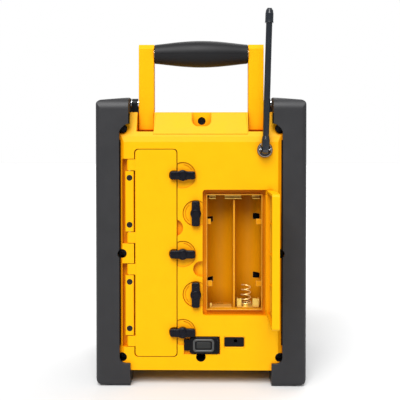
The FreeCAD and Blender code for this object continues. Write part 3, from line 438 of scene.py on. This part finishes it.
def grip():
    """Moulded rubber grip: barrel swell with rolled ends and a fine parting rib at front and back."""
    half, end = GRIP_HALF, GRIP_END
    profile = [(GRIP_BORE, -half), (end - 0.9, -half), (end - 0.3, -half + 0.3), (end, -half + 1.0)]
    steps = 72
    for step in range(steps + 1):
        t = -1 + 2 * step / steps
        profile.append((grip_radius(t), t * (half - GRIP_ROLL)))
    profile += [(end, half - 1.0), (end - 0.3, half - 0.3), (end - 0.9, half), (GRIP_BORE, half)]
    bm = bmesh.new()
    turned(bm, profile, (0, GRIP_DEPTH, GRIP_Z), "x", 72)
    close_up("grip_sleeve", bm, "grip", "handle", ["handle_grip"])
    bm = bmesh.new()
    rib_half, steps = 45.0, 48
    for side in (-1, 1):
        rings = []
        for step in range(steps + 1):
            along = (-1 + 2 * step / steps) * rib_half
            radius = grip_radius(along / (half - GRIP_ROLL))
            out = GRIP_DEPTH + side * (radius + 0.15)
            back = GRIP_DEPTH + side * (radius - 0.5)
            rings.append([at(along, depth, GRIP_Z + rise)
                          for depth, rise in ((back, -0.7), (out, -0.4), (out, 0.4), (back, 0.7))])
        loft(bm, rings)
    close_up("grip_rib", bm, "grip", "handle")


def bumper_gap_shade():
    """Thin black strip in the gap between each bumper's inner edge and the yellow face: painted shade.
    """
    along_the_side = ((80.6, 81.8), (2.4, -0.35), (41.0, 247.0))
    beside_the_shoulder = ((71.4, 72.7), (1.6, -0.35), (263.5, 274.0))
    bm = bmesh.new()
    for side in (-1, 1):
        for x, depth, z in (along_the_side, beside_the_shoulder):
            bar(bm, sorted((side * x[0], side * x[1])), depth, z)
    close_up("bumper_gap_shade", bm, "shade_black", "radio")


# ---------------------------------------------------------------- turn latches

LATCH_LENGTH, LATCH_WIDTH, LATCH_CORNER, LATCH_HUB = 25.2, 8.1, 2.1, 5.45
COVER_LATCH_X, COVER_LATCHES = -18.2, (("top", 211.7), ("middle", 132.7), ("bottom", 54.0))
DOOR_LATCH_X, DOOR_LATCHES = -5.1, (("upper", 173.5), ("lower", 92.0))


def latch_outline(level):
    """Bar with a round bulge in the middle, blended where they meet."""
    outline = rounded_rectangle(LATCH_LENGTH, LATCH_WIDTH, LATCH_CORNER, 7)
    spacing, blend = 0.7, 14
    dense = []
    for i, (x, z) in enumerate(outline):
        nx, nz = outline[(i + 1) % len(outline)]
        gap = math.hypot(nx - x, nz - z)
        parts = max(1, int(gap / spacing))
        dense += [(x + (nx - x) * k / parts, z + (nz - z) * k / parts) for k in range(parts)]
    made = []
    for x, z in dense:
        reach = math.hypot(x, z)
        grown = (reach ** blend + LATCH_HUB ** blend) ** (1 / blend)
        if reach < LATCH_HUB * 1.5:
            x, z = x * grown / reach, z * grown / reach
        made.append((x, z) if level else (-z, x))
    return made


def turn_latch(name, x, z, level):
    """Finger bar with a dished boss and grip ribs, on a shaft with a snap head."""
    bm = bmesh.new()
    pillow(bm, latch_outline(level), (x, z), -0.8, -4.9, 1.0, 5)
    pillow(bm, circle(4.3, 40), (x, z), -4.6, -5.5, 0.7, 4, dish=0.35)
    first_rib, rib_step, rib_half, rib_reach, rib_depth = 7.6, 1.5, 0.35, 2.7, (-4.7, -5.2)
    for side in (-1, 1):
        for step in range(3):
            middle = side * (first_rib + step * rib_step)
            if level:
                bar(bm, (x + middle - rib_half, x + middle + rib_half), rib_depth,
                    (z - rib_reach, z + rib_reach))
            else:
                bar(bm, (x - rib_reach, x + rib_reach), rib_depth,
                    (z + middle - rib_half, z + middle + rib_half))
    hub = [(LATCH_HUB, -0.9), (LATCH_HUB, 0.5), (5.0, 0.7)]
    shaft = [(2.95, 0.7), (2.95, 4.9)]
    head = [(4.15, 4.9), (4.15, 6.3), (3.0, 6.9), (2.4, 7.1)]
    turned(bm, hub + shaft + head, (x, 0, z), "y", 40)
    close_up(name + "_button", bm, "latch", name, [name])


def latches():
    for where, height in COVER_LATCHES:
        turn_latch("cover_latch_" + where, COVER_LATCH_X, height, True)
    for where, height in DOOR_LATCHES:
        turn_latch("door_latch_" + where, DOOR_LATCH_X, height, False)


# ---------------------------------------------------------------- power socket cover

def socket_cover():
    """Rubber flap with a raised frame and a finger lip, and the strap that it bends on."""
    centre = (3.75, 40.65)
    bm = bmesh.new()
    pillow(bm, rounded_rectangle(30.0, 17.2, 3.0, 7), centre, 1.7, -1.3, 1.1, 5)
    pillow(bm, rounded_rectangle(3.4, 12.6, 1.5, 5), (16.9, 40.65), -1.0, -2.4, 0.9, 4)
    turned(bm, [(2.25, 1.6), (2.25, 3.6), (1.9, 3.95)], (2.4, 0, 40.7), "y", 32)
    close_up("power_flap", bm, "flap", "dc_flap", ["dc_flap"])

    ring = (2.7, 40.9)
    outer, inner = rounded_rectangle(21.4, 13.2, 3.4, 7), rounded_rectangle(16.8, 8.6, 1.4, 7)
    levels = [(outer, 0.0, -1.1), (outer, 0.0, -1.9)]
    for step in range(1, 6):
        angle = math.pi * step / 6
        levels.append((outer, 1.15 - 1.15 * math.cos(angle), -1.9 - 0.75 * math.sin(angle)))
    levels += [(inner, 0.0, -1.9), (inner, 0.0, -1.1)]
    bm = bmesh.new()
    rings = []
    for outline, move, depth in levels:
        shape = inset(outline, move) if move else outline
        rings.append([at(ring[0] + x, depth, ring[1] + z) for x, z in shape])
    rings.append(rings[0])
    loft(bm, rings, caps=False)
    close_up("power_flap_frame", bm, "flap_frame", "dc_flap")
    bm = bmesh.new()
    pillow(bm, rounded_rectangle(14.6, 6.6, 1.0, 5), ring, -1.1, -2.0, 0.6, 4)
    close_up("power_flap_panel", bm, "flap_panel", "dc_flap")

    bm = bmesh.new()
    pillow(bm, rounded_rectangle(5.0, 11.5, 0.9, 5), (-14.3, 40.95), 2.2, -0.45, 0.7, 4)
    close_up("flap_anchor_pad", bm, "flap", "radio", ["dc_flap_anchor"])

    bm = bmesh.new()
    rings, steps = [], 18
    left, length, low, high, mid_depth = -13.4, 4.4, 35.9, 46.0, -0.4
    for step in range(steps + 1):
        x = left + length * step / steps
        thin = 0.30 + 0.28 * abs(2 * step / steps - 1)
        rings.append([at(x, mid_depth + side * thin, z)
                      for side, z in ((1, low), (-1, low), (-1, high), (1, high))])
    loft(bm, rings)
    strap = finished("flap_strap", bm, "flap", merge=1e-7)
    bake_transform(strap)


MAST_X, MAST_Z = 63.8, 237.2
JACK_X, JACK_Z = 33.5, 44.0


def antenna_ring():
    """Thin bright ring on the rim of the antenna's collar."""
    bm = bmesh.new()
    turned(bm, [(6.35, -2.2), (6.4, -2.55), (6.7, -2.65), (7.0, -2.55), (7.05, -2.2), (6.35, -2.2)],
           (MAST_X, 0, MAST_Z), "y", 64, caps=False)
    close_up("antenna_ring", bm, "ring", "radio")


def crown_pad():
    """Raised pad on the slope between the handle's arms, open round the screw well."""
    foot, rise = (1.5, 250.5), 13.5 / 25
    out_depth, out_z = -0.88, 0.475
    arc = [math.radians(180 + 180 * step / 10) for step in range(11)]
    outline = [(-48.0, 252.8), (47.2, 252.8), (45.4, 274.6), (10.8, 274.6)]
    outline += [(0.6 - 10.2 * math.cos(a), 266.5 + 6.4 * math.sin(a)) for a in arc]
    outline += [(-9.6, 274.6), (-45.6, 274.6)]
    bm = bmesh.new()
    rings = []
    for move, lift in ((0.0, -0.8), (0.0, 0.35), (0.35, 0.6)):
        shape = inset(outline, move) if move else outline
        rings.append([at(x, foot[0] + (z - foot[1]) * rise + out_depth * lift, z + out_z * lift)
                      for x, z in shape])
    loft(bm, rings)
    close_up("crown_pad", bm, "yellow", "radio", sharp=15)


def jack_rim():
    """Bevelled rim in the gap round the headphone socket's panel."""
    outer, inner = rounded_rectangle(21.5, 11.9, 2.4, 7), rounded_rectangle(19.8, 9.8, 1.4, 7)
    bm = bmesh.new()
    rings = []
    for shape, depth in ((outer, 2.4), (outer, -0.1), (inset(outer, 0.35), -0.25), (inner, 0.45),
                         (inner, 2.4)):
        rings.append([at(JACK_X + x, depth, JACK_Z + z) for x, z in shape])
    rings.append(rings[0])
    loft(bm, rings, caps=False)
    close_up("jack_rim", bm, "yellow", "radio")


# ---------------------------------------------------------------- battery spring

SPRING_X, SPRING_DEPTH, SPRING_FOOT = 46.0, 22.8, 77.8
BAY_FLOOR = 76.4


def spring():
    """Sprung contact wound from wire, narrower at the top, with a closed first turn."""
    path, turns, per = [], 4.8, 28
    closed_pitch, open_pitch, lean, start_angle = 1.3, 5.1, 0.4, 0.6
    for step in range(int(turns * per) + 1):
        t = step / per
        share = t / turns
        radius = 5.5 - 1.1 * share
        rise = closed_pitch * t if t < 1 else closed_pitch + (t - 1) * open_pitch
        angle = 2 * math.pi * t - start_angle
        path.append(at(SPRING_X + lean * share + radius * math.cos(angle),
                       SPRING_DEPTH + radius * math.sin(angle), SPRING_FOOT + rise))
    bm = bmesh.new()
    tube(bm, path, 0.68, 12)
    close_up("spring_coil", bm, "spring", "radio", ["battery_spring"])


def contact_ears():
    """Cut-cornered ears that hold the sprung contact, and the pressed ring under the coil."""
    floor = BAY_FLOOR
    bm = bmesh.new()
    for outer, top, tip in ((36.8, 39.4, 41.4), (59.0, 56.4, 52.4)):
        outline = [(outer, floor), (tip, floor), (tip, floor + 9.4), (top, floor + 9.4),
                   (outer, floor + 5.2)]
        if tip < outer:
            outline.reverse()
        rings = [[at(x, depth, z) for x, z in (inset(outline, move) if move else outline)]
                 for depth, move in ((12.5, 0.0), (11.9, 0.0), (11.6, 0.3))]
        loft(bm, rings)
    turned(bm, [(5.0, 77.1), (5.1, 78.0), (5.8, 78.3), (6.5, 78.0), (6.7, 77.1)],
           (SPRING_X, SPRING_DEPTH, 0), "z", 48)
    close_up("contact_ears", bm, "contact", "radio")


# ---------------------------------------------------------------- knobs, marks and display

KNOB_X, KNOB_Z = 52.0, 224.0


def knurled(radius, ridges, cut, count=288):
    outline = []
    for i in range(count):
        angle = 2 * math.pi * i / count
        wave = max(0.0, math.cos(angle * ridges)) ** 0.6
        reach = radius - cut * (1 - wave)
        outline.append((reach * math.cos(angle), reach * math.sin(angle)))
    return outline


def knob(name, x):
    """Knurled cap with a skirt, a dished face and a shaft, and its pointer."""
    z = KNOB_Z
    skirt = [(12.5, 152.0), (14.9, 152.0), (14.9, 153.0), (14.2, 153.6), (12.0, 153.6)]
    face = [(12.2, 161.3), (12.2, 161.9), (11.6, 162.15), (10.9, 161.8), (0.05, 161.5)]
    shaft = [(2.9, 140.2), (2.9, 152.5)]
    bm = bmesh.new()
    turned(bm, skirt, (x, 0, z), "y", 96)
    pillow(bm, knurled(14.3, 36, 0.45), (x, z), 153.2, 161.6, 1.2, 5)
    turned(bm, face, (x, 0, z), "y", 96)
    turned(bm, shaft, (x, 0, z), "y", 24)
    close_up(name + "_cap", bm, "black", name, [name])
    bm = bmesh.new()
    bar(bm, (x - 0.55, x + 0.55), (161.4, 162.1), (z + 4.5, z + 11.5))
    close_up(name + "_pointer", bm, "print", name)


SEGMENTS = {"0": "abcdef", "1": "bc", "2": "abged", "3": "abgcd", "4": "fgbc", "5": "afgcd",
            "6": "afgedc"}


def digit(bm, figure, left, low, width, height, stroke, depth):
    """Seven-segment figure that reads from the speaker side, where x runs from right to left."""
    half = height / 2
    inner, near, far = width - stroke, stroke * 0.4, width - stroke * 0.4
    places = {"a": (near, height - stroke, far, height), "d": (near, 0, far, stroke),
              "g": (near, half - stroke / 2, far, half + stroke / 2), "f": (0, half, stroke, height),
              "e": (0, 0, stroke, half), "b": (inner, half, width, height),
              "c": (inner, 0, width, half)}
    gap = stroke * 0.12
    for name in SEGMENTS[figure]:
        x0, z0, x1, z1 = places[name]
        bar(bm, (left - x1 + gap, left - x0 - gap), depth, (low + z0 + gap, low + z1 - gap))


def front_marks():
    """Generic dial ticks and preset numbers on the control panel, and figures on the display."""
    bm = bmesh.new()
    face = (151.3, 151.75)
    tick_from, tick_half = 17.2, 0.42
    for x in (-KNOB_X, KNOB_X):
        for step in range(11):
            angle = math.radians(-150 + 30 * step)
            long = 2.6 if step in (0, 5, 10) else 1.7
            for part in range(3):
                reach = tick_from + long * (part + 0.5) / 3
                cx, cz = x - reach * math.sin(angle), KNOB_Z + reach * math.cos(angle)
                bar(bm, (cx - tick_half, cx + tick_half), face, (cz - tick_half, cz + tick_half))
    for number, x in enumerate((-27.0, -9.0, 9.0, 27.0), 1):
        digit(bm, str(5 - number), x + 1.0, 199.4, 2.0, 3.4, 0.5, face)
    close_up("panel_marks", bm, "print", "radio")

    bm = bmesh.new()
    depth = (144.9, 145.25)
    left, low, width, height, stroke, spacing = 24.0, 221.5, 8.6, 15.0, 1.7, 11.4
    for figure in "106":
        digit(bm, figure, left, low, width, height, stroke, depth)
        left -= spacing
    bar(bm, (left + 0.6, left + 2.2), depth, (221.6, 223.2))
    digit(bm, "5", left - 0.9, low, width, height, stroke, depth)
    for step in range(5):
        bar(bm, (-25.5 + step * 2.2, -24.1 + step * 2.2), depth, (238.2, 239.0 + 0.5 * (4 - step)))
    close_up("display_figures", bm, "ink", "radio")


# ---------------------------------------------------------------- battery bay pockets

def pocket_shade_linings():
    """Black sheets at the back of the pockets under the bay's tabs: painted shade for the dark inside.
    """
    bm = bmesh.new()
    for x, spans in (((6.5, 12.2), ((161.7, 167.3), (98.6, 103.9))),
                     ((54.3, 60.8), ((164.4, 170.7), (102.6, 108.8)))):
        for z in spans:
            bar(bm, x, (37.5, 35.6), z)
    close_up("pocket_shade_linings", bm, "shade_black", "radio")


def screw_well_shade_liners():
    """Thin black sleeves in the screw wells: painted shade that makes the wells look dark."""
    bm = bmesh.new()
    wells = [(side * 79.0, height, 4.45, 1.4, 11.8)
             for side in (-1, 1) for height in (28.5, 133.0, 258.3)]
    wells += [(0.0, 28.9, 4.85, 0.15, 23.8), (0.6, 266.5, 3.95, 15.5, 23.8)]
    wall = 0.25
    for x, z, radius, face, back in wells:
        turned(bm, [(radius, face), (radius - wall, face), (radius - wall, back), (radius, back),
                    (radius, face)], (x, 0, z), "y", 48, caps=False)
    close_up("screw_well_shade_liners", bm, "shade_black", "radio")


def cover_seam_shade():
    """Thin black strip in the gap round the storage cover, open at the hinge and the finger recess:
    painted shade for the dark seam.
    """
    left, right, low, high, corner = -64.0, -23.5, 28.8, 238.2, 3.8
    recess_low, recess_high = 150.0, 168.0
    middle, wide, face, back = Vector((-45, 133)), 0.5, 0.9, 4.6
    arc = [math.radians(90 * step / 8) for step in range(9)]
    upper = [(left, high)]
    upper += [(right - corner + corner * math.sin(a), high - corner + corner * math.cos(a))
              for a in arc]
    upper.append((right, recess_high))
    lower = [(x, low + high - z) for x, z in upper]
    lower[-1] = (right, recess_low)
    bm = bmesh.new()
    for line in (upper, lower):
        rings = []
        for i, (x, z) in enumerate(line):
            ax, az = line[max(i - 1, 0)]
            bx, bz = line[min(i + 1, len(line) - 1)]
            run = Vector((bx - ax, bz - az)).normalized()
            side = Vector((-run.y, run.x))
            if side.dot(middle - Vector((x, z))) < 0:
                side = -side
            ix, iz = x + side.x * wide, z + side.y * wide
            rings.append([at(x, face, z), at(ix, face, iz), at(ix, back, iz), at(x, back, z)])
        loft(bm, rings)
    close_up("cover_seam_shade", bm, "shade_black", "radio")


grip()
latches()
screw_well_shade_liners()
cover_seam_shade()
bumper_gap_shade()
socket_cover()
antenna_ring()
crown_pad()
jack_rim()
spring()
contact_ears()
pocket_shade_linings()
knob("volume_knob", -KNOB_X)
knob("tuning_knob", KNOB_X)
front_marks()


# ---------------------------------------------------------------- camera, floor and light

SKY_LOW, SKY_HIGH = 0.18, 0.75  # strength of the white sky near the floor and overhead
FLOOR_REACH, FLOOR_ALBEDO = 9.0, 0.62
WHITE = (1, 1, 1, 1)
KEY_TOWARDS, KEY_POWER = (-0.2, -0.95, 1.08), 4.2
FILL_TOWARDS, FILL_POWER = (0.45, 0.9, 0.7), 1.5


def camera():
    data = bpy.data.cameras.new("camera")
    data.lens, data.sensor_width = 63.0, 36.0
    data.shift_y = -0.10
    data.clip_start, data.clip_end = 0.01, 50.0
    made = add_object("camera", data)
    eye, aim = Vector((0.0086, -0.7508, 0.240)), Vector((-0.0009, -0.0508, 0.227))
    made.location = eye
    made.rotation_mode = "QUATERNION"
    made.rotation_quaternion = (aim - eye).to_track_quat("-Z", "Y")
    bpy.context.scene.camera = made


def sun(name, towards, power, spread):
    """Soft distant light; towards points from the object to the light."""
    data = bpy.data.lights.new(name, "SUN")
    data.energy, data.angle = power, math.radians(spread)
    made = add_object(name, data)
    made.rotation_mode = "QUATERNION"
    made.rotation_quaternion = Vector(towards).to_track_quat("Z", "Y")


def studio():
    """Pale floor, a sky that is dim low down and plain white to the camera, and two soft suns."""
    mesh = bpy.data.meshes.new("floor")
    reach = FLOOR_REACH
    corners = [(-reach, -reach, 0), (reach, -reach, 0), (reach, reach, 0), (-reach, reach, 0)]
    mesh.from_pydata(corners, [], [(0, 1, 2, 3)])
    floor = add_object("floor", mesh)
    white = bpy.data.materials.new("floor")
    white.use_nodes = True
    shader = white.node_tree.nodes["Principled BSDF"]
    shader.inputs["Base Color"].default_value = (FLOOR_ALBEDO, FLOOR_ALBEDO, FLOOR_ALBEDO, 1)
    shader.inputs["Roughness"].default_value = 0.8
    shader.inputs["Specular IOR Level"].default_value = 0.1
    mesh.materials.append(white)

    world = bpy.data.worlds.new("studio")
    bpy.context.scene.world = world
    world.use_nodes = True
    tree = world.node_tree
    sky = tree.nodes["Background"]
    coords = tree.nodes.new("ShaderNodeTexCoord")
    split = tree.nodes.new("ShaderNodeSeparateXYZ")
    link(tree, coords.outputs["Generated"], split.inputs["Vector"])
    rise = tree.nodes.new("ShaderNodeMapRange")
    rise.inputs["From Min"].default_value, rise.inputs["From Max"].default_value = -0.1, 0.9
    rise.inputs["To Min"].default_value, rise.inputs["To Max"].default_value = SKY_LOW, SKY_HIGH
    link(tree, split.outputs["Z"], rise.inputs["Value"])
    link(tree, rise.outputs["Result"], sky.inputs["Strength"])
    backdrop = tree.nodes.new("ShaderNodeBackground")
    backdrop.inputs["Color"].default_value = WHITE
    sky.inputs["Color"].default_value = WHITE
    rays = tree.nodes.new("ShaderNodeLightPath")
    mix = tree.nodes.new("ShaderNodeMixShader")
    link(tree, rays.outputs["Is Camera Ray"], mix.inputs["Fac"])
    link(tree, sky.outputs["Background"], mix.inputs[1])
    link(tree, backdrop.outputs["Background"], mix.inputs[2])
    link(tree, mix.outputs["Shader"], tree.nodes["World Output"].inputs["Surface"])

    sun("key", KEY_TOWARDS, KEY_POWER, 42)
    sun("fill", FILL_TOWARDS, FILL_POWER, 60)
    bpy.context.scene.view_settings.view_transform = "Standard"
    bpy.context.scene.view_settings.look = "None"


camera()
studio()
